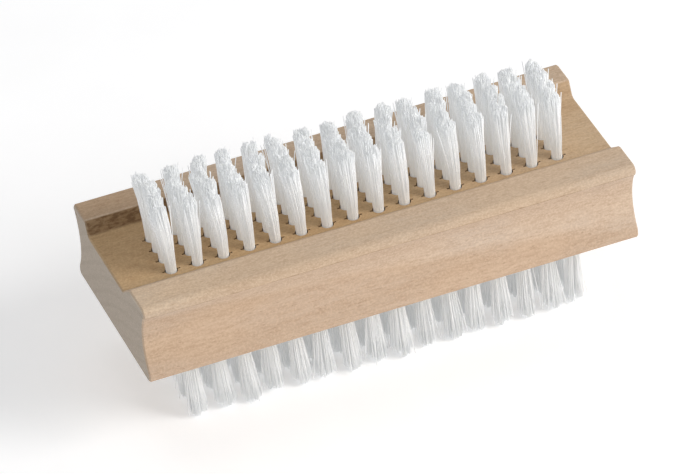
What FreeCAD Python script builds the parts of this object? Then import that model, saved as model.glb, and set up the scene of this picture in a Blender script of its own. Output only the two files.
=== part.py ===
import FreeCAD, Part
import math
import os

from FreeCAD import Vector

# A double-sided nail brush, in millimetres.
#
# A wooden block carries bristle tufts on both faces. The upper tufts stand in a
# shallow channel between two raised rails, for brushing under the nails; the wider
# field of tufts on the underside is for the hands. Every tuft is a bundle of nylon
# filaments folded over a flat wire anchor and driven into a blind hole, where the
# ends of the anchor bite into the wood.
#
# Frame: X runs along the block, Y across it, +Z up towards the channel side. The
# origin is at the middle of the plane that the lower bristle tips rest on.

# ---- driving dimensions -------------------------------------------------------

# Block
BLOCK_LENGTH = 95.0
BLOCK_WIDTH = 36.0
BLOCK_HEIGHT = 16.2
END_CHAMFER = 0.25            # sanded break around both sawn ends

# Channel between the rails, open at both ends. Its front wall slopes more gently
# than its rear wall. The rails' widths run from the channel to the block's side.
CHANNEL_DEPTH = 3.0
FRONT_RAIL_WIDTH = 7.0
REAR_RAIL_WIDTH = 6.2
FRONT_WALL_ANGLE = 37.0       # degrees above the bed
REAR_WALL_ANGLE = 66.0
COVE_RADIUS = 1.2             # where each channel wall runs into the bed
RAIL_INNER_RADIUS = 0.6       # softened edge along the top of each channel wall

# Long sides, from the top down: bead, quirk, finger groove, land, lower edge
BEAD_RADIUS = 1.4
BEAD_HEIGHT = 1.75            # top of the rail down to the quirk
QUIRK_DEPTH = 0.3
GROOVE_DEPTH = 2.0
GROOVE_LOW = 1.9              # height where the groove meets the land
LAND_BLEND_RADIUS = 2.5
LOWER_EDGE_RADIUS = 0.8

# Tuft fields
COLUMNS = 16
COLUMN_PITCH = 5.0
UPPER_ROWS = 4
UPPER_ROW_PITCH = 3.4
LOWER_ROWS = 5
LOWER_ROW_PITCH = 5.2

# Drilled holes and anchors
HOLE_DIAMETER = 2.4
HOLE_DEPTH = 5.5
ANCHOR_LENGTH = 3.4           # longer than the hole is wide, so both ends bite
ANCHOR_THICKNESS = 0.35
ANCHOR_HEIGHT = 1.6

# Tufts
TUFT_ROOT_DIAMETER = 2.3
FOLD_THICKNESS = 0.7          # bristle folded under the anchor
UPPER_TUFT_LENGTH = 15.0      # bed to tips
UPPER_TIP_DIAMETER = 3.3
LOWER_TUFT_LENGTH = 16.0      # underside to tips
LOWER_TIP_DIAMETER = 4.0
TIP_BEVEL = 0.25              # uneven trim at the rim of a tuft

# ---- derived places -----------------------------------------------------------

HALF_WIDTH = BLOCK_WIDTH / 2
UNDERSIDE_Z = LOWER_TUFT_LENGTH
TOP_Z = UNDERSIDE_Z + BLOCK_HEIGHT
BED_Z = TOP_Z - CHANNEL_DEPTH
OVERCUT = 0.5                 # cutting tools stand this far out of the wood
PLACE_TOLERANCE = 0.001       # for picking edges by where they are
UP = Vector(0, 0, 1)


def spaced(count, pitch):
    """Positions of evenly spaced features, centred on zero."""
    return [(i - (count - 1) / 2) * pitch for i in range(count)]


def line(start, end):
    return Part.makeLine(start, end)


def arc(start, middle, end):
    return Part.Arc(start, middle, end).toShape()


# ---- block --------------------------------------------------------------------

def side_edges(side, rail_width, wall_angle):
    """Section outline of one rail and one long side; side is +1 or -1 along Y."""
    def at(y, z):
        return Vector(-BLOCK_LENGTH / 2, side * y, UNDERSIDE_Z + z)

    wall = math.radians(wall_angle)
    diagonal = math.sqrt(0.5)
    bed = BLOCK_HEIGHT - CHANNEL_DEPTH
    rail_inner = HALF_WIDTH - rail_width
    cove_rise = COVE_RADIUS * (1 - math.cos(wall))
    wall_foot = rail_inner - (CHANNEL_DEPTH - cove_rise) / math.tan(wall)
    bed_edge = wall_foot - COVE_RADIUS * math.sin(wall)
    cove_centre = bed + COVE_RADIUS
    quirk = BLOCK_HEIGHT - BEAD_HEIGHT
    bead_y = HALF_WIDTH - BEAD_RADIUS
    bead_z = BLOCK_HEIGHT - BEAD_RADIUS
    edge_y = HALF_WIDTH - LOWER_EDGE_RADIUS

    cove = arc(
        at(bed_edge, bed),
        at(bed_edge + COVE_RADIUS * math.sin(wall / 2),
           cove_centre - COVE_RADIUS * math.cos(wall / 2)),
        at(wall_foot, bed + cove_rise))
    bead = arc(
        at(bead_y, BLOCK_HEIGHT),
        at(bead_y + BEAD_RADIUS * diagonal, bead_z + BEAD_RADIUS * diagonal),
        at(HALF_WIDTH, bead_z))
    groove = arc(
        at(HALF_WIDTH - QUIRK_DEPTH, quirk),
        at(HALF_WIDTH - GROOVE_DEPTH, (quirk + GROOVE_LOW) / 2),
        at(HALF_WIDTH, GROOVE_LOW))
    lower_edge = arc(
        at(HALF_WIDTH, LOWER_EDGE_RADIUS),
        at(edge_y + LOWER_EDGE_RADIUS * diagonal, LOWER_EDGE_RADIUS * (1 - diagonal)),
        at(edge_y, 0))
    return [
        cove,
        line(at(wall_foot, bed + cove_rise), at(rail_inner, BLOCK_HEIGHT)),
        line(at(rail_inner, BLOCK_HEIGHT), at(bead_y, BLOCK_HEIGHT)),
        bead,
        line(at(HALF_WIDTH, bead_z), at(HALF_WIDTH, quirk)),
        line(at(HALF_WIDTH, quirk), at(HALF_WIDTH - QUIRK_DEPTH, quirk)),
        groove,
        line(at(HALF_WIDTH, GROOVE_LOW), at(HALF_WIDTH, LOWER_EDGE_RADIUS)),
        lower_edge,
    ]


def ends_of(edges):
    """First and last point of a run of joined edges."""
    return edges[0].Vertexes[0].Point, edges[-1].Vertexes[-1].Point


def block_section():
    """The block's cross-section, as a face at its left end."""
    rear = side_edges(1, REAR_RAIL_WIDTH, REAR_WALL_ANGLE)
    front = side_edges(-1, FRONT_RAIL_WIDTH, FRONT_WALL_ANGLE)
    rear_bed, rear_foot = ends_of(rear)
    front_bed, front_foot = ends_of(front)
    edges = rear + front + [line(front_bed, rear_bed), line(front_foot, rear_foot)]
    return Part.Face(Part.Wire(Part.sortEdges(edges)[0]))


def lengthwise_edges(block, places):
    """The block's lengthwise edges at the given (y, z) places."""
    def is_at(edge, y, z):
        middle = edge.CenterOfMass
        return math.hypot(middle.y - y, middle.z - z) < PLACE_TOLERANCE

    return [edge for edge in block.Edges
            if abs(edge.BoundBox.XLength - BLOCK_LENGTH) < PLACE_TOLERANCE
            and any(is_at(edge, y, z) for y, z in places)]


def plain_block():
    """The moulded block before drilling."""
    block = block_section().extrude(Vector(BLOCK_LENGTH, 0, 0))
    land_z = UNDERSIDE_Z + GROOVE_LOW
    lands = lengthwise_edges(block, [(-HALF_WIDTH, land_z), (HALF_WIDTH, land_z)])
    block = block.makeFillet(LAND_BLEND_RADIUS, lands)
    wall_tops = lengthwise_edges(block, [
        (FRONT_RAIL_WIDTH - HALF_WIDTH, TOP_Z), (HALF_WIDTH - REAR_RAIL_WIDTH, TOP_Z)])
    block = block.makeFillet(RAIL_INNER_RADIUS, wall_tops)
    end_edges = [edge for edge in block.Edges if edge.BoundBox.XLength < PLACE_TOLERANCE]
    return block.makeChamfer(END_CHAMFER, end_edges)


# ---- tuft, anchor and hole, standing along +Z with the hole's mouth at zero ----

def flat_box(length, width, low, high):
    """A box centred on the Z axis, from low to high."""
    corner = Vector(-length / 2, -width / 2, low)
    return Part.makeBox(length, width, high - low, corner)


def hole_tool():
    """Drilled hole with the two slits that the anchor cuts on its way in."""
    drill = Part.makeCylinder(
        HOLE_DIAMETER / 2, HOLE_DEPTH + OVERCUT, Vector(0, 0, -HOLE_DEPTH), UP)
    slit = flat_box(
        ANCHOR_LENGTH, ANCHOR_THICKNESS, FOLD_THICKNESS - HOLE_DEPTH, OVERCUT)
    return drill.fuse(slit).removeSplitter()


def anchor():
    """Flat wire anchor, on edge near the bottom of the hole."""
    low = FOLD_THICKNESS - HOLE_DEPTH
    return flat_box(ANCHOR_LENGTH, ANCHOR_THICKNESS, low, low + ANCHOR_HEIGHT)


def tuft(length, tip_diameter):
    """Bristle bundle: folded round the anchor in the hole, flared outside it."""
    root = TUFT_ROOT_DIAMETER / 2
    tip = tip_diameter / 2
    outline = [
        Vector(0, 0, -HOLE_DEPTH),
        Vector(root, 0, -HOLE_DEPTH),
        Vector(root, 0, 0),
        Vector(tip, 0, length - TIP_BEVEL),
        Vector(tip - TIP_BEVEL, 0, length),
        Vector(0, 0, length),
        Vector(0, 0, -HOLE_DEPTH),
    ]
    bundle = Part.Face(Part.makePolygon(outline)).revolve(Vector(0, 0, 0), UP, 360)
    return bundle.cut(anchor())


def placed(shape, x, y, upper):
    """A copy of a standing shape on the channel bed, or hanging from the underside."""
    copy = shape.copy()
    if not upper:
        copy.rotate(Vector(0, 0, 0), Vector(1, 0, 0), 180)
    copy.translate(Vector(x, y, BED_Z if upper else UNDERSIDE_Z))
    return copy


# ---- assembly -----------------------------------------------------------------

def export(name, solids):
    shape = solids[0] if len(solids) == 1 else Part.makeCompound(solids)
    shape.exportStep("parts/" + name + ".step")


def build_side(label, rows, row_pitch, tuft_shape, upper):
    """Write one face's tufts, column by column, and its anchors, row by row."""
    columns = spaced(COLUMNS, COLUMN_PITCH)
    row_places = spaced(rows, row_pitch)
    for number, x in enumerate(columns, start=1):
        solids = [placed(tuft_shape, x, y, upper) for y in row_places]
        export("%s_tufts_column_%02d" % (label, number), solids)
    for number, y in enumerate(row_places, start=1):
        solids = [placed(anchor(), x, y, upper) for x in columns]
        export("%s_anchors_row_%d" % (label, number), solids)
    return [placed(hole_tool(), x, y, upper) for x in columns for y in row_places]


def main():
    os.makedirs("parts", exist_ok=True)
    upper_tuft = tuft(UPPER_TUFT_LENGTH, UPPER_TIP_DIAMETER)
    lower_tuft = tuft(LOWER_TUFT_LENGTH, LOWER_TIP_DIAMETER)
    holes = build_side("upper", UPPER_ROWS, UPPER_ROW_PITCH, upper_tuft, True)
    holes += build_side("lower", LOWER_ROWS, LOWER_ROW_PITCH, lower_tuft, False)
    block = plain_block().cut(holes).removeSplitter()
    export("handle_block", block.Solids)


main()
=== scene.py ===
import math

import bpy
import numpy as np
from mathutils import Matrix, Vector


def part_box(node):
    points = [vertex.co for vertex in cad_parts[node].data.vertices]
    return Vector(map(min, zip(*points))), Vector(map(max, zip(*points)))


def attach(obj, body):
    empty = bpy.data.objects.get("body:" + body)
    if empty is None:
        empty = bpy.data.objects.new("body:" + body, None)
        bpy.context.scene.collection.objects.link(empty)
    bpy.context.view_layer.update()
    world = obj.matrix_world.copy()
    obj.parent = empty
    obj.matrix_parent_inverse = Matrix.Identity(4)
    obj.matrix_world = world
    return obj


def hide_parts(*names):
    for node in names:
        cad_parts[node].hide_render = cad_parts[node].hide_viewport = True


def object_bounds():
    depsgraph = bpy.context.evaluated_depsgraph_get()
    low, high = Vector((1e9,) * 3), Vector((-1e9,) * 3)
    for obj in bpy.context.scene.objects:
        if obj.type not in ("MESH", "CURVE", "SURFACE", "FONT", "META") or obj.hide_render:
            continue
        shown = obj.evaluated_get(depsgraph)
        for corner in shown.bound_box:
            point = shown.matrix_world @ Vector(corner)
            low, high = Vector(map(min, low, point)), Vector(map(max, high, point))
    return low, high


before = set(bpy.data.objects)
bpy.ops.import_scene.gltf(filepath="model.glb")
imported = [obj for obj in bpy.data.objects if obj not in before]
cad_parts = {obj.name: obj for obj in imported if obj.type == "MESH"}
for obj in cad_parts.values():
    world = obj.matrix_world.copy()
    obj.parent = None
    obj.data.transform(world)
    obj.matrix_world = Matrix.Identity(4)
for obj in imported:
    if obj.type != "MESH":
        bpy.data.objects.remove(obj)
cad_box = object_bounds()

# A double-sided wooden nail brush. The block and the wire anchors are the CAD model's
# own pieces with better materials; every tuft is built here, filament by filament, and
# each column of tufts replaces the CAD node of the same name. All lengths are in metres.

MM = 0.001

# ---- the block and its tuft fields ------------------------------------------------

COLUMNS = 16
ROWS = {"upper": 4, "lower": 5}
ROW_PITCH = {"upper": 3.4 * MM, "lower": 5.2 * MM}
CHANNEL_DEPTH = 3.0 * MM
CHANNEL_FRONT = -7.4 * MM             # foot of the channel's front wall
CHANNEL_REAR = 11.8 * MM              # top of its rear wall
REAR_WALL_RUN = 1.7 * MM              # how far the rear wall leans into the channel
BEAD_HEIGHT = 1.75 * MM               # top of a rail down to the quirk
DRILLED_HALF_LENGTH = 40 * MM         # half the drilled field, with a little to spare
DRILLED_HALF_WIDTH = 13 * MM

block_low, block_high = (Vector(corner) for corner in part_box("handle_block"))
BED_Z = block_high.z - CHANNEL_DEPTH
QUIRK_Z = block_high.z - BEAD_HEIGHT

# ---- filaments --------------------------------------------------------------------

FILAMENTS = 150
FILAMENT_RADIUS = 0.08 * MM
FILAMENT_SIDES = 5
STEPS_OUTSIDE = 3             # straight pieces of a filament outside its hole
ROOT_RADIUS = 1.02 * MM
ROOT_DEPTH = 3.0 * MM         # how far down its hole a filament is drawn
TIP_RADII = {                 # along X, where neighbours leave more room, and along Y
    "upper": (1.85 * MM, 1.6 * MM),
    "lower": (2.15 * MM, 2.1 * MM),
}
TUFT_SPREAD = (0.86, 1.06)    # a tuft's own tip radii, as a share of those
FLARE_POWER = {"upper": 1.5, "lower": 1.1}
CLUMPS = 4
CLUMP_TURN_SPREAD = 0.3       # in radians, how unevenly clumps lie round a tuft
CLUMP_REACH = (0.4, 0.75)     # a clump's distance from the middle, as a share of the tip radii
CLUMP_PULL = 0.14             # how far a filament's tip is drawn to its clump
CLUMP_TRIM = 1.1 * MM         # most that a clump ends short of the trim plane
TRIM_SPREAD = 0.28 * MM
DOME = 1.1 * MM               # how much shorter a tuft is at its rim
TIP_JITTER = 0.13 * MM
BEND_SPREAD = 0.10 * MM
LEAN = {                      # front row's lean along X, its change per row and per metre of X
    "upper": (-0.95 * MM, 0.3 * MM, 0.013),
    "lower": (0.85 * MM, 0.0, -0.012),
}
LEAN_SPREAD = 0.28 * MM
STRAY_SHARE = 0.04
STRAY_REACH = 1.55            # how much further out a stray filament's tip is
TONE_SPREAD = 0.22
SEED = 41
FULL_TURN = 2 * math.pi
GOLDEN_ANGLE = math.pi * (3 - math.sqrt(5))


def spaced(count, pitch):
    """Positions of evenly spaced features, centred on zero."""
    return [(i - (count - 1) / 2) * pitch for i in range(count)]


def bundle_paths(rng, side, length, lean):
    """Centre lines of one tuft's filaments, standing along +Z with the hole's mouth at zero."""
    index = np.arange(FILAMENTS)
    angle = index * GOLDEN_ANGLE + rng.uniform(0, FULL_TURN)
    packed = (ROOT_RADIUS - FILAMENT_RADIUS) * np.sqrt((index + 0.5) / FILAMENTS)
    root = np.stack([packed * np.cos(angle), packed * np.sin(angle)], axis=1)

    tip_radii = np.array(TIP_RADII[side])
    spread = tip_radii / ROOT_RADIUS * rng.uniform(*TUFT_SPREAD)
    tip = root * spread + rng.normal(0, TIP_JITTER, (FILAMENTS, 2))
    clump_angle = rng.uniform(0, FULL_TURN) + np.arange(CLUMPS) * FULL_TURN / CLUMPS
    clump_angle += rng.normal(0, CLUMP_TURN_SPREAD, CLUMPS)
    clump_reach = tip_radii * rng.uniform(*CLUMP_REACH, (CLUMPS, 1))
    clump_centre = np.stack([np.cos(clump_angle), np.sin(clump_angle)], axis=1) * clump_reach
    gap = np.linalg.norm(tip[:, None, :] - clump_centre[None, :, :], axis=2)
    clump = gap.argmin(axis=1)
    tip += CLUMP_PULL * (clump_centre[clump] - tip)
    stray = rng.random(FILAMENTS) < STRAY_SHARE
    tip[stray] *= STRAY_REACH
    tip += rng.normal((lean, 0), LEAN_SPREAD)

    short = rng.uniform(0, CLUMP_TRIM, CLUMPS)[clump] + DOME * (index / FILAMENTS) ** 2
    short += np.abs(rng.normal(0, TRIM_SPREAD, FILAMENTS))
    short -= short.min()
    reach = length - short
    bend = rng.normal(0, BEND_SPREAD, (FILAMENTS, 2))

    share = np.linspace(0, 1, STEPS_OUTSIDE + 1)
    flare = share ** FLARE_POWER[side]
    sag = 4 * share * (1 - share)
    across = root[:, None, :] + (tip - root)[:, None, :] * flare[None, :, None]
    across += bend[:, None, :] * sag[None, :, None]
    height = reach[:, None] * share[None, :]
    outside = np.concatenate([across, height[:, :, None]], axis=2)
    inside = np.concatenate([root, np.full((FILAMENTS, 1), -ROOT_DEPTH)], axis=1)
    return np.concatenate([inside[:, None, :], outside], axis=1)


def tubes(paths):
    """Vertices and faces of round filaments along centre lines that run mainly along Z."""
    count, rings, _ = paths.shape
    turn = np.arange(FILAMENT_SIDES) * FULL_TURN / FILAMENT_SIDES
    circle = np.stack([np.cos(turn), np.sin(turn), np.zeros(FILAMENT_SIDES)], axis=1)
    vertices = paths[:, :, None, :] + FILAMENT_RADIUS * circle[None, None, :, :]
    ring = np.arange(FILAMENT_SIDES)
    following = (ring + 1) % FILAMENT_SIDES
    faces = []
    for filament in range(count):
        start = filament * rings * FILAMENT_SIDES
        for step in range(rings - 1):
            low = start + step * FILAMENT_SIDES
            high = low + FILAMENT_SIDES
            faces += np.stack(
                [low + ring, low + following, high + following, high + ring], axis=1).tolist()
        last = start + (rings - 1) * FILAMENT_SIDES
        faces.append((start + ring[::-1]).tolist())
        faces.append((last + ring).tolist())
    return vertices.reshape(-1, 3), faces


def filament_tones(rng, paths):
    """Per-vertex colour: a filament's own tone, its place along the tuft and a tuft tone."""
    count, rings, _ = paths.shape
    tone = np.clip(rng.normal(0.5, TONE_SPREAD, count), 0, 1)
    along = np.concatenate([[0.0], np.linspace(0, 1, rings - 1)])
    values = np.empty((count, rings, FILAMENT_SIDES, 4), dtype=np.float32)
    values[..., 0] = tone[:, None, None]
    values[..., 1] = along[None, :, None]
    values[..., 2] = rng.uniform(0, 1)
    values[..., 3] = 1
    return values.reshape(-1, 4)


def tuft_column(side, number):
    """One column of tufts as a single mesh, in place of its CAD node."""
    node = "%s_tufts_column_%02d" % (side, number)
    low, high = (Vector(corner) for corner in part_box(node))
    x = (low.x + high.x) / 2
    upper = side == "upper"
    mouth_z = BED_Z if upper else block_low.z
    length = high.z - BED_Z if upper else block_low.z - low.z
    front_lean, lean_per_row, lean_along = LEAN[side]
    rng = np.random.default_rng([SEED, number, int(upper)])
    vertices, faces, tones = [], [], []
    total = 0
    for row, y in enumerate(spaced(ROWS[side], ROW_PITCH[side])):
        lean = front_lean + row * lean_per_row + x * lean_along
        paths = bundle_paths(rng, side, length, lean)
        if not upper:
            paths = paths * np.array([1.0, -1.0, -1.0])
        points, loops = tubes(paths)
        vertices.append(points + np.array([x, y, mouth_z]))
        faces += [[corner + total for corner in loop] for loop in loops]
        tones.append(filament_tones(rng, paths))
        total += len(points)
    mesh = bpy.data.meshes.new(node + "_filaments")
    mesh.from_pydata(np.concatenate(vertices).tolist(), [], faces)
    if not upper:
        mesh.flip_normals()
    colours = mesh.color_attributes.new("strand", "FLOAT_COLOR", "POINT")
    colours.data.foreach_set("color", np.concatenate(tones).ravel())
    mesh.shade_smooth()
    piece = bpy.data.objects.new(node + "_filaments", mesh)
    bpy.context.scene.collection.objects.link(piece)
    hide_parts(node)
    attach(piece, "root")
    return piece


# ---- materials --------------------------------------------------------------------

class Graph:
    """A material's node tree, with short calls that add and join nodes."""

    def __init__(self, name):
        self.material = bpy.data.materials.new(name)
        self.material.use_nodes = True
        self.tree = self.material.node_tree
        self.shader = self.tree.nodes["Principled BSDF"]

    def set(self, node, inputs):
        for key, value in inputs.items():
            socket = node.inputs[key]
            if isinstance(value, bpy.types.NodeSocket):
                self.tree.links.new(value, socket)
            else:
                socket.default_value = value

    def add(self, kind, inputs=None, **settings):
        node = self.tree.nodes.new(kind)
        for key, value in settings.items():
            setattr(node, key, value)
        self.set(node, inputs or {})
        return node

    def place(self):
        """Position on the object, in metres."""
        return self.add("ShaderNodeTexCoord").outputs["Object"]

    def scaled(self, vector, scale, shift=(0, 0, 0)):
        mapping = self.add("ShaderNodeMapping", {
            "Vector": vector, "Location": shift, "Scale": scale})
        return mapping.outputs["Vector"]

    def noise(self, vector, scale, detail=3.0, roughness=0.5):
        texture = self.add("ShaderNodeTexNoise", {
            "Vector": vector, "Scale": scale, "Detail": detail, "Roughness": roughness})
        return texture.outputs["Fac"]

    def band(self, value, low, high, out_low=0.0, out_high=1.0):
        """value mapped from low..high to out_low..out_high, clamped and eased."""
        mapped = self.add("ShaderNodeMapRange", {
            "Value": value, "From Min": low, "From Max": high,
            "To Min": out_low, "To Max": out_high}, interpolation_type="SMOOTHSTEP")
        return mapped.outputs["Result"]

    def math(self, operation, *values):
        node = self.add("ShaderNodeMath", operation=operation)
        self.set(node, dict(enumerate(values)))
        return node.outputs[0]

    def mix(self, factor, first, second, blend="MIX"):
        node = self.add("ShaderNodeMix", data_type="RGBA", blend_type=blend)
        self.set(node, {0: factor, 6: first, 7: second})
        return node.outputs[2]

    def fade(self, value, limits, end=0.0):
        """Mask that falls from one to end as value crosses its limits."""
        return self.band(value, *limits, 1.0, end)

    def all_of(self, *masks):
        """Mask that is one only where every given mask is one."""
        product = masks[0]
        for mask in masks[1:]:
            product = self.math("MULTIPLY", product, mask)
        return product

    def tint(self, tone, mask, colour):
        """tone multiplied by colour where the mask is one."""
        return self.mix(mask, tone, colour, "MULTIPLY")

    def layer(self, tone, pattern, limits, strength, colour):
        """colour laid over tone, from nothing to strength as pattern crosses its limits."""
        return self.mix(self.band(pattern, *limits, 0.0, strength), tone, colour)


# Wood. Each pattern is noise: its cells per metre along X, Y and Z, octaves and roughness.
WOOD_PATTERNS = {
    "wander": ((14, 90, 90), 2.0, 0.5),
    "board": ((9, 75, 90), 2.0, 0.5),
    "stain": ((38, 85, 85), 2.0, 0.5),
    "fibre": ((380, 2300, 2300), 4.0, 0.62),
    "coarse_fibre": ((55, 800, 800), 3.0, 0.55),
    "fuzz": ((2400, 2900, 2900), 2.0, 0.6),
    "fleck": ((900, 3300, 3300), 1.0, 0.5),
    "pores": ((300, 7000, 7000), 2.0, 0.5),
    "saw_marks": ((300, 900, 5200), 3.0, 0.5),
    # mottles the painted shadow, with some scorch, on the channel's rear wall
    "scorch_and_shadow": ((700, 1800, 1800), 3.0, 0.5),
    # breaks up the painted shade line in the quirks
    "quirk_shade_mottle": ((260, 900, 900), 2.0, 0.5),
}
STAIN_SHIFT = (0.3, 0.1, 0.2)         # moves the stains to another part of the noise
LOG_CENTRE_SHIFT = (0, 0.055, 0.075)  # from the middle of the log to the block
RING_SCALE = 118.0
WOOD_BUMP = {"Strength": 0.35, "Distance": 0.12 * MM}
FLECK_LIMITS = (0.66, 0.73)

# Layers from the bottom up: pattern, limits, strength and colour
SIDE_BASE = (0.585, 0.425, 0.29, 1)
SIDE_LAYERS = [
    ("board", (0.35, 0.65), 1.0, (0.65, 0.485, 0.335, 1)),
    ("stain", (0.42, 0.62), 0.6, (0.575, 0.455, 0.345, 1)),
    ("growth", (0.15, 0.95), 0.09, (0.52, 0.36, 0.235, 1)),
    ("wander", (0.45, 0.7), 0.3, (0.69, 0.53, 0.40, 1)),
    ("coarse_fibre", (0.42, 0.66), 0.22, (0.50, 0.345, 0.225, 1)),
    ("fibre", (0.40, 0.68), 0.42, (0.45, 0.30, 0.19, 1)),
    ("fuzz", (0.42, 0.66), 0.42, (0.77, 0.60, 0.43, 1)),
    ("fleck", FLECK_LIMITS, 0.28, (0.29, 0.175, 0.10, 1)),
]
END_BASE = (0.49, 0.415, 0.335, 1)
END_LAYERS = [
    ("pores", (0.46, 0.62), 0.5, (0.27, 0.21, 0.155, 1)),
    ("saw_marks", (0.4, 0.65), 0.3, (0.32, 0.26, 0.20, 1)),
    ("growth", (0.62, 0.97), 0.2, (0.33, 0.26, 0.195, 1)),
]

# Where tinted zones of the wood start and end: each is a soft edge along one axis
FRONT_FACE_Y = (-15 * MM, -14 * MM)
FRONT_RAIL_Y = (-12 * MM, -10 * MM)
REAR_RAIL_Y = (CHANNEL_REAR, CHANNEL_REAR + 0.4 * MM)
RAIL_TOP_Z = (block_high.z - 1.2 * MM, block_high.z - 0.4 * MM)
# The painted highlight and painted shadow on the rails' left ends fade out across this
RAIL_END_X = (-44 * MM, -22 * MM)
CHANNEL_FRONT_Y = (CHANNEL_FRONT - 0.8 * MM, CHANNEL_FRONT + 0.3 * MM)
CHANNEL_REAR_Y = (CHANNEL_REAR, CHANNEL_REAR + 0.2 * MM)
CHANNEL_LOW_Z = (BED_Z - 0.6 * MM, BED_Z - 0.3 * MM)
CHANNEL_HIGH_Z = (block_high.z - 0.35 * MM, block_high.z - 0.1 * MM)
# The painted shade of the tufts in the channel fades across this, from full at the left
CHANNEL_SHADE_X = (-5 * MM, 42 * MM)
REAR_WALL_Y = (CHANNEL_REAR - REAR_WALL_RUN, CHANNEL_REAR - REAR_WALL_RUN + 0.6 * MM)
# The painted shadow on the rear wall fades across this towards the right end
REAR_WALL_SHADOW_X = (-15 * MM, 35 * MM)
HOLE_LOW_Z = (block_low.z + 0.05 * MM, block_low.z + 0.3 * MM)
HOLE_HIGH_Z = (BED_Z - 0.3 * MM, BED_Z - 0.05 * MM)
HOLE_FIELD_X = (DRILLED_HALF_LENGTH, DRILLED_HALF_LENGTH + 0.1 * MM)
HOLE_FIELD_Y = (DRILLED_HALF_WIDTH, DRILLED_HALF_WIDTH + 0.1 * MM)
QUIRK_LOW_Z = (QUIRK_Z - 0.45 * MM, QUIRK_Z - 0.1 * MM)
QUIRK_HIGH_Z = (QUIRK_Z + 0.02 * MM, QUIRK_Z + 0.12 * MM)
QUIRK_Y = (15 * MM, 16 * MM)
SAP_HIGH_Z = (QUIRK_Z - 0.4 * MM, QUIRK_Z)
END_FACING = (0.6, 0.95)              # how far a surface has to face along X to be an end

HEART_Z = 8.4 * MM                    # heartwood's upper edge above the underside, at mid length
HEART_SLOPE = -0.12                   # its fall along X
HEART_WANDER = 7 * MM
HEART_BLEND = 1.5 * MM                # half the width of its soft edge
HEART_TINT = (0.94, 0.895, 0.875, 1)
SAP_TINT = (1.02, 1.03, 1.08, 1)
# Painted highlight on the front rail's left end, painted shadow of the tufts on the rear rail's
# left end
FRONT_RAIL_HIGHLIGHT_TINT = (1.12, 1.13, 1.12, 1)
REAR_RAIL_SHADOW_TINT = (0.86, 0.79, 0.71, 1)
# The channel bed's own yellower tone together with painted shade of the tufts
CHANNEL_TONE_AND_SHADE_TINT = (0.88, 0.79, 0.60, 1)
# Painted shadow of the tufts on the rear wall, with some scorch from the cutter
REAR_WALL_SHADOW_TINT = (0.36, 0.30, 0.25, 1)
# Painted shade inside the drilled holes
HOLE_SHADE_TINT = (0.25, 0.19, 0.14, 1)
# Painted shade in the quirk under each bead
QUIRK_SHADE_TINT = (0.45, 0.33, 0.24, 1)


class Block:
    """Places and masks on the block that the wood's shading uses."""

    def __init__(self, g):
        self.place = g.place()
        parts = g.add("ShaderNodeSeparateXYZ", {"Vector": self.place})
        self.along, self.across, self.height = (parts.outputs[axis] for axis in "XYZ")
        self.half = g.math("ABSOLUTE", self.across)
        normal = g.add("ShaderNodeSeparateXYZ", {
            "Vector": g.add("ShaderNodeNewGeometry").outputs["Normal"]})
        self.end = g.band(g.math("ABSOLUTE", normal.outputs["X"]), *END_FACING)
        self.not_end = g.math("SUBTRACT", 1.0, self.end)


def wood_patterns(g, place):
    """Every noise pattern by name, and the growth rings."""
    shifts = {"stain": STAIN_SHIFT}
    patterns = {}
    for name, (cells, octaves, roughness) in WOOD_PATTERNS.items():
        vector = g.scaled(place, cells, shifts.get(name, (0, 0, 0)))
        patterns[name] = g.noise(vector, 1.0, octaves, roughness)
    rings = g.add("ShaderNodeTexWave", {
        "Vector": g.scaled(place, (1, 1, 1), LOG_CENTRE_SHIFT), "Scale": RING_SCALE,
        "Distortion": 3.2, "Detail": 2.0, "Detail Scale": 0.35},
        wave_type="RINGS", rings_direction="X")
    patterns["growth"] = rings.outputs["Fac"]
    return patterns


def layered(g, patterns, base, layers):
    """A base colour under its layers."""
    tone = base
    for name, limits, strength, colour in layers:
        tone = g.layer(tone, patterns[name], limits, strength, colour)
    return tone


def tint_zones(g, tone, block, patterns):
    """Paler sapwood over pinker heartwood on the front face, a painted highlight on the front
    rail's left end and painted shadow of the tufts on the rear rail's left end.
    """
    front_face = g.all_of(block.not_end, g.fade(block.across, FRONT_FACE_Y))
    heart_z = g.math("MULTIPLY_ADD", block.along, HEART_SLOPE, block_low.z + HEART_Z)
    wander = g.math("MULTIPLY", g.math("SUBTRACT", patterns["wander"], 0.5), HEART_WANDER)
    above_heart = g.math("SUBTRACT", block.height, g.math("ADD", heart_z, wander))
    soft_edge = (-HEART_BLEND, HEART_BLEND)
    heart = g.all_of(front_face, g.fade(above_heart, soft_edge))
    tone = g.tint(tone, heart, HEART_TINT)
    sap = g.all_of(
        front_face,
        g.band(above_heart, *soft_edge),
        g.fade(block.height, SAP_HIGH_Z))
    tone = g.tint(tone, sap, SAP_TINT)
    # Painted light: the front rail's left end made brighter, the rear rail's left end darkened as
    # if by the tufts' shadow
    rail_end = g.all_of(
        g.band(block.height, *RAIL_TOP_Z),
        g.fade(block.along, RAIL_END_X))
    front_rail_highlight = g.all_of(rail_end, g.fade(block.across, FRONT_RAIL_Y))
    tone = g.tint(tone, front_rail_highlight, FRONT_RAIL_HIGHLIGHT_TINT)
    rear_rail_shadow = g.all_of(rail_end, g.band(block.across, *REAR_RAIL_Y))
    return g.tint(tone, rear_rail_shadow, REAR_RAIL_SHADOW_TINT)


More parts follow.
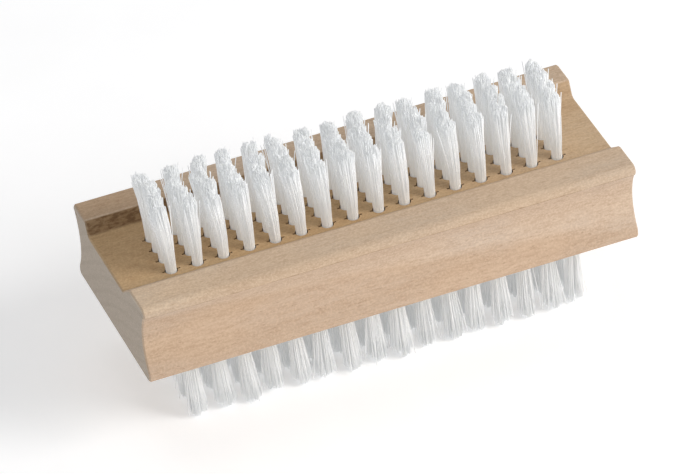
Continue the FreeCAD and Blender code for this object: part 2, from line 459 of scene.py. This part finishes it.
def tint_channel(g, tone, block, patterns):
    """The channel's bed in a yellower tone of its own, darkened by painted shade of the tufts
    most at its left end, and painted shadow of the tufts with some scorch on its rear wall.
    """
    in_channel = g.all_of(
        g.band(block.across, *CHANNEL_FRONT_Y),
        g.fade(block.across, CHANNEL_REAR_Y),
        g.band(block.height, *CHANNEL_LOW_Z),
        g.fade(block.height, CHANNEL_HIGH_Z),
        block.not_end)
    # Painted shade of the tufts over the bed's own yellower tone, full at the left end and easing
    # to 0.6 towards the right
    channel_tone_and_shade = g.all_of(in_channel, g.fade(block.along, CHANNEL_SHADE_X, end=0.6))
    tone = g.tint(tone, channel_tone_and_shade, CHANNEL_TONE_AND_SHADE_TINT)
    # Painted shadow of the tufts on the rear wall, mottled with some scorch, weakest at the right
    # end
    rear_wall_shadow = g.all_of(
        in_channel,
        g.band(block.across, *REAR_WALL_Y),
        g.band(patterns["scorch_and_shadow"], 0.35, 0.65, 0.5, 1.0),
        g.fade(block.along, REAR_WALL_SHADOW_X, end=0.15))
    return g.tint(tone, rear_wall_shadow, REAR_WALL_SHADOW_TINT)


def tint_hollows(g, tone, block, patterns):
    """Painted shade on the walls inside the drilled holes, and a painted shade line, broken up by
    noise, in both quirks.
    """
    # Painted shade on the walls of the drilled holes
    hole_shade = g.all_of(
        g.band(block.height, *HOLE_LOW_Z),
        g.fade(block.height, HOLE_HIGH_Z),
        g.fade(g.math("ABSOLUTE", block.along), HOLE_FIELD_X),
        g.fade(block.half, HOLE_FIELD_Y))
    tone = g.tint(tone, hole_shade, HOLE_SHADE_TINT)
    # Painted shade along the quirk under each bead, broken up by noise
    quirk = g.all_of(
        g.band(block.height, *QUIRK_LOW_Z),
        g.fade(block.height, QUIRK_HIGH_Z),
        g.band(patterns["quirk_shade_mottle"], 0.35, 0.6, 0.25, 0.8),
        g.band(block.half, *QUIRK_Y))
    return g.tint(tone, quirk, QUIRK_SHADE_TINT)


def wood_material():
    """Pale close-grained wood, unvarnished, with painted light and shade on its rails, channel,
    holes and quirks.
    """
    g = Graph("pale_beech")
    block = Block(g)
    patterns = wood_patterns(g, block.place)
    side_tone = layered(g, patterns, SIDE_BASE, SIDE_LAYERS)
    end_tone = layered(g, patterns, END_BASE, END_LAYERS)
    tone = g.mix(block.end, side_tone, end_tone)
    tone = tint_zones(g, tone, block, patterns)
    tone = tint_channel(g, tone, block, patterns)
    tone = tint_hollows(g, tone, block, patterns)

    relief = g.math(
        "ADD",
        g.math("MULTIPLY", patterns["fibre"], 0.6),
        g.math("MULTIPLY", patterns["coarse_fibre"], 0.4))
    relief = g.math("SUBTRACT", relief, g.band(patterns["fleck"], *FLECK_LIMITS, 0.0, 0.35))
    bump = g.add("ShaderNodeBump", {"Height": relief, **WOOD_BUMP})
    g.set(g.shader, {
        "Base Color": tone, "Roughness": g.band(patterns["fibre"], 0.3, 0.75, 0.52, 0.74),
        "Normal": bump.outputs["Normal"], "Specular IOR Level": 0.32})
    return g.material


NYLON_DULL = (0.90, 0.905, 0.905, 1)     # a filament's own tone lies between these two
NYLON_BRIGHT = (0.965, 0.965, 0.96, 1)
NYLON_COOL = (0.885, 0.90, 0.905, 1)     # a tuft's own tone leans to this
NYLON_FROSTED = (0.91, 0.945, 0.965, 1)  # cut tips
# Painted shade near the roots, warmed by light reflected from the wood
NYLON_ROOT_SHADE = (0.84, 0.79, 0.71, 1)       # near the wood
NYLON_STREAK = (0.88, 0.90, 0.915, 1)
GLOW = {"upper": 0.118, "lower": 0.088}  # stands in for light passed from filament to filament


def bristle_material(side):
    """White translucent nylon, a little different on every filament."""
    g = Graph("white_nylon_" + side)
    strand = g.add("ShaderNodeVertexColor", layer_name="strand")
    parts = g.add("ShaderNodeSeparateColor", {"Color": strand.outputs["Color"]})
    filament_tone, along, tuft_tone = (parts.outputs[key] for key in ("Red", "Green", "Blue"))
    tone = g.mix(filament_tone, NYLON_DULL, NYLON_BRIGHT)
    tone = g.mix(g.math("MULTIPLY", tuft_tone, 0.35), tone, NYLON_COOL)
    tone = g.layer(tone, along, (0.8, 1.0), 0.4, NYLON_FROSTED)
    # Painted shade, warmed by the wood's reflected light, fading up from the roots
    tone = g.mix(g.band(along, 0.0, 0.6, 0.4, 0.0), tone, NYLON_ROOT_SHADE)
    streak = g.noise(g.scaled(g.place(), (2600, 2600, 240)), 1.0, 2.0)
    tone = g.layer(tone, streak, (0.5, 0.75), 0.2, NYLON_STREAK)
    roughness = g.band(streak, 0.3, 0.7, 0.30, 0.48)
    bump = g.add("ShaderNodeBump", {"Height": streak, "Strength": 0.15, "Distance": 0.03 * MM})
    g.set(g.shader, {
        "Base Color": tone, "Roughness": roughness, "Normal": bump.outputs["Normal"],
        "Subsurface Weight": 0.7, "Subsurface Radius": (1.0, 1.0, 1.1),
        "Subsurface Scale": 0.6 * MM, "IOR": 1.53,
        "Emission Color": tone, "Emission Strength": GLOW[side]})
    return g.material


WIRE_BRIGHT = (0.50, 0.49, 0.47, 1)
WIRE_DULL = (0.36, 0.35, 0.33, 1)
WIRE_TARNISH = (0.26, 0.21, 0.16, 1)


def anchor_material():
    """Drawn flat wire, with fine lines along it and a little tarnish."""
    g = Graph("drawn_wire")
    place = g.place()
    lines = g.noise(g.scaled(place, (300, 5200, 5200)), 1.0, 3.0)
    tarnish = g.noise(g.scaled(place, (700, 700, 700)), 1.0, 3.0)
    tone = g.layer(WIRE_BRIGHT, lines, (0.35, 0.7), 1.0, WIRE_DULL)
    tone = g.layer(tone, tarnish, (0.5, 0.75), 0.6, WIRE_TARNISH)
    bump = g.add("ShaderNodeBump", {"Height": lines, "Strength": 0.3, "Distance": 0.02 * MM})
    g.set(g.shader, {
        "Base Color": tone, "Roughness": g.band(tarnish, 0.3, 0.7, 0.3, 0.55),
        "Normal": bump.outputs["Normal"], "Metallic": 1.0})
    return g.material


FLOOR_DARK = (0.95, 0.95, 0.95, 1)
FLOOR_LIGHT = (0.97, 0.97, 0.97, 1)
FLOOR_GLOW = 0.26                        # keeps the floor near white around the shadow


def floor_material():
    """Pale matt studio surface."""
    g = Graph("pale_floor")
    mottle = g.noise(g.scaled(g.place(), (40, 40, 40)), 1.0, 4.0)
    tone = g.layer(FLOOR_DARK, mottle, (0.3, 0.7), 1.0, FLOOR_LIGHT)
    g.set(g.shader, {
        "Base Color": tone, "Roughness": 0.85, "Specular IOR Level": 0.1,
        "Emission Color": (1, 1, 1, 1), "Emission Strength": FLOOR_GLOW})
    return g.material


def finish_node(name, material):
    """Give a CAD node's object a better material in every slot."""
    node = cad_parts[name]
    node.data.materials.clear()
    node.data.materials.append(material)


# ---- studio -----------------------------------------------------------------------

CAMERA_AZIMUTH = -19.70
CAMERA_ELEVATION = 37.38
CAMERA_ROLL = -4.18
CAMERA_DISTANCE = 1.1304
CAMERA_OFFSET = (0.00122, 0.00311)   # aim, right of and above the block's centre
SENSOR_WIDTH = 36.0
LENS = 321.8

SKY_COLOUR = (0.97, 0.98, 1.0, 1)
SKY_STRENGTH = 0.465
SOFTBOXES = [                  # azimuth, elevation, distance, diameter, power and colour
    ("key", 54, 31, 1.0, 0.55, 6.0, (1.0, 0.985, 0.97)),
    ("top", 200, 75, 1.5, 0.8, 1.6, (1, 1, 1)),
]
FLOOR_RADIUS = 2.6
FLOOR_SPOKES = 96
RIM_CURVE = 0.3                # radius and height of the floor's upturned rim
RIM_STEPS = 12


def view_axes(azimuth, elevation, roll):
    """Right, up and back of a camera; azimuth 0 looks along +Y."""
    a, e, r = (math.radians(angle) for angle in (azimuth, elevation, roll))
    back = Vector((math.sin(a) * math.cos(e), -math.cos(a) * math.cos(e), math.sin(e)))
    level = Vector((0, 0, 1)).cross(back).normalized()
    rise = back.cross(level)
    right = math.cos(r) * level + math.sin(r) * rise
    return right, back.cross(right), back


def add_camera():
    right, up, back = view_axes(CAMERA_AZIMUTH, CAMERA_ELEVATION, CAMERA_ROLL)
    centre = (block_low + block_high) / 2
    eye = centre + CAMERA_DISTANCE * back - CAMERA_OFFSET[0] * right - CAMERA_OFFSET[1] * up
    data = bpy.data.cameras.new("camera")
    data.sensor_width = SENSOR_WIDTH
    data.lens = LENS
    camera = bpy.data.objects.new("camera", data)
    turn = Matrix((right, up, back)).transposed().to_4x4()
    camera.matrix_world = Matrix.Translation(eye) @ turn
    bpy.context.scene.collection.objects.link(camera)
    bpy.context.scene.camera = camera


def add_softbox(name, azimuth, elevation, distance, size, power, colour):
    """A large soft light aimed at the middle of the brush."""
    right, up, back = view_axes(azimuth, elevation, 0)
    data = bpy.data.lights.new(name, "AREA")
    data.shape = "DISK"
    data.size = size
    data.energy = power
    data.color = colour
    light = bpy.data.objects.new(name, data)
    centre = (block_low + block_high) / 2
    turn = Matrix((right, up, back)).transposed().to_4x4()
    light.matrix_world = Matrix.Translation(centre + distance * back) @ turn
    bpy.context.scene.collection.objects.link(light)


def add_floor():
    """A round floor that curves up at its rim, so that no edge shows from low angles."""
    bends = [step / RIM_STEPS * math.pi / 2 for step in range(RIM_STEPS + 1)]
    turns = [FULL_TURN * spoke / FLOOR_SPOKES for spoke in range(FLOOR_SPOKES)]
    vertices = []
    for bend in bends:
        radius = FLOOR_RADIUS + RIM_CURVE * math.sin(bend)
        height = RIM_CURVE * (1 - math.cos(bend))
        vertices += [(radius * math.cos(turn), radius * math.sin(turn), height) for turn in turns]
    faces = [list(range(FLOOR_SPOKES))]
    for ring in range(RIM_STEPS):
        low = ring * FLOOR_SPOKES
        high = low + FLOOR_SPOKES
        for spoke in range(FLOOR_SPOKES):
            following = (spoke + 1) % FLOOR_SPOKES
            faces.append((low + spoke, low + following, high + following, high + spoke))
    mesh = bpy.data.meshes.new("floor")
    mesh.from_pydata(vertices, [], faces)
    mesh.materials.append(floor_material())
    floor = bpy.data.objects.new("floor", mesh)
    floor.location = (0, 0, cad_box[0][2])
    bpy.context.scene.collection.objects.link(floor)


def add_studio():
    world = bpy.data.worlds.new("studio")
    world.use_nodes = True
    background = world.node_tree.nodes["Background"]
    background.inputs["Color"].default_value = SKY_COLOUR
    background.inputs["Strength"].default_value = SKY_STRENGTH
    bpy.context.scene.world = world
    bpy.context.scene.view_settings.view_transform = "Standard"
    for softbox in SOFTBOXES:
        add_softbox(*softbox)
    add_floor()


# ---- assembly ---------------------------------------------------------------------

def dress_cad_nodes():
    finish_node("handle_block", wood_material())
    wire = anchor_material()
    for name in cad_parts:
        if "_anchors_" in name:
            finish_node(name, wire)


def add_tufts():
    for side in ROWS:
        nylon = bristle_material(side)
        for number in range(1, COLUMNS + 1):
            piece = tuft_column(side, number)
            piece.data.materials.append(nylon)


add_camera()
add_studio()
dress_cad_nodes()
add_tufts()
